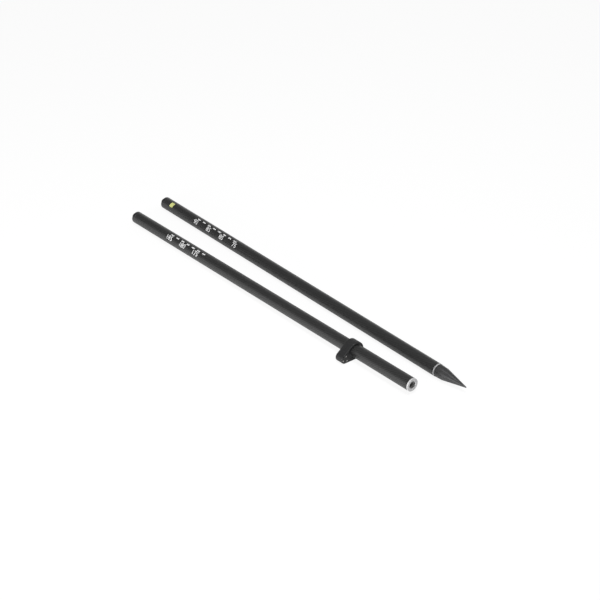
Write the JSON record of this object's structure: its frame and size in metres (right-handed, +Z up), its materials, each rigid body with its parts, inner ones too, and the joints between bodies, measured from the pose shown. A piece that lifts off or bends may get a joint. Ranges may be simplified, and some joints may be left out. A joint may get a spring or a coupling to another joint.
{
  "type": "survey pole",
  "caption": "Survey pole shown taken apart: a carbon lower section ending in a metal point, and an upper section with a clamp-on circular level and threaded ends.",
  "frame": {"origin": "on the floor under the middle of the two sections as they lie", "axes": "+X down the sections, from their tops to their bottoms; +Z up from the floor"},
  "size_m": [1.0519, 0.1514, 0.0393],
  "materials": {
    "carbon": "satin clear coat over a woven carbon tube",
    "black_alloy": "black anodised, turned",
    "stud_steel": "bright zinc plate over a rolled thread",
    "insert_alloy": "turned, natural",
    "point_steel": "turned and blackened",
    "yellow_film": "plain yellow vinyl film",
    "bracket_plastic": "moulded, fine grain",
    "liner_plastic": "moulded nylon",
    "screw_steel": "bright",
    "vial_alloy": "black anodised",
    "vial_glass": "clear",
    "vial_liquid": "clear, tinted green",
    "vial_bubble": "clear",
    "cushion_rubber": "soft"
  },
  "bodies": {
    "upper_section": {"upper_tube": "carbon", "upper_top_fitting": "black_alloy", "antenna_stud": "stud_steel", "upper_socket": "insert_alloy"},
    "lower_section": {"lower_tube": "carbon", "lower_top_fitting": "black_alloy", "section_stud": "stud_steel", "lower_socket": "insert_alloy", "section_patch": "yellow_film"},
    "point": {"point": "point_steel"},
    "bracket_liner": {"bracket_liner": "liner_plastic"},
    "bracket": {"bracket_body": "bracket_plastic", "vial_cushion": "cushion_rubber"},
    "lock_screw": {"lock_screw": "screw_steel"},
    "vial": {"vial_cup": "vial_alloy", "vial_glass": "vial_glass", "vial_liquid": "vial_liquid", "vial_bubble": "vial_bubble", "vial_ring": "vial_alloy"},
    "adjusting_screw_1": {"adjusting_screw_1": "screw_steel"},
    "adjusting_screw_2": {"adjusting_screw_2": "screw_steel"},
    "adjusting_screw_3": {"adjusting_screw_3": "screw_steel"}
  },
  "joints": [
    {"name": "lower_section_lift", "type": "slide", "parent": "upper_section", "child": "lower_section", "axis": [0, 0, 1], "range_m": [0, 0.3]},
    {"name": "point_unscrew", "type": "slide", "parent": "lower_section", "child": "point", "axis": [0.9999, -0.0148, 0], "range_m": [0, 0.03]},
    {"name": "bracket_slide", "type": "slide", "parent": "upper_section", "child": "bracket_liner", "axis": [1, 0, 0.0069], "range_m": [-0.755, 0.15]},
    {"name": "bracket_swivel", "type": "hinge", "parent": "bracket_liner", "child": "bracket", "pos_m": [0.28084, -0.03656, 0.01966], "axis": [1, 0, 0.0069], "continuous": true},
    {"name": "lock_screw_turn", "type": "hinge", "parent": "bracket", "child": "lock_screw", "pos_m": [0.2808, -0.01992, 0.0251], "axis": [-0.0021, 0.9506, 0.3105], "range_deg": [0, 360]},
    {"name": "vial_tilt", "type": "hinge", "parent": "bracket", "child": "vial", "pos_m": [0.2853, -0.06564, 0.01019], "axis": [0.0065, 0.3105, -0.9506], "range_deg": [-1.2, 1.2]},
    {"name": "adjusting_screw_1_turn", "type": "hinge", "parent": "vial", "child": "adjusting_screw_1", "pos_m": [0.28691, -0.07188, 0.00876], "axis": [1, 0, 0.0069], "range_deg": [-360, 360]},
    {"name": "adjusting_screw_2_turn", "type": "hinge", "parent": "vial", "child": "adjusting_screw_2", "pos_m": [0.28694, -0.06127, 0.00553], "axis": [1, 0, 0.0069], "range_deg": [-360, 360]},
    {"name": "adjusting_screw_3_turn", "type": "hinge", "parent": "vial", "child": "adjusting_screw_3", "pos_m": [0.28686, -0.06378, 0.01633], "axis": [1, 0, 0.0069], "range_deg": [-360, 360]}
  ]
}
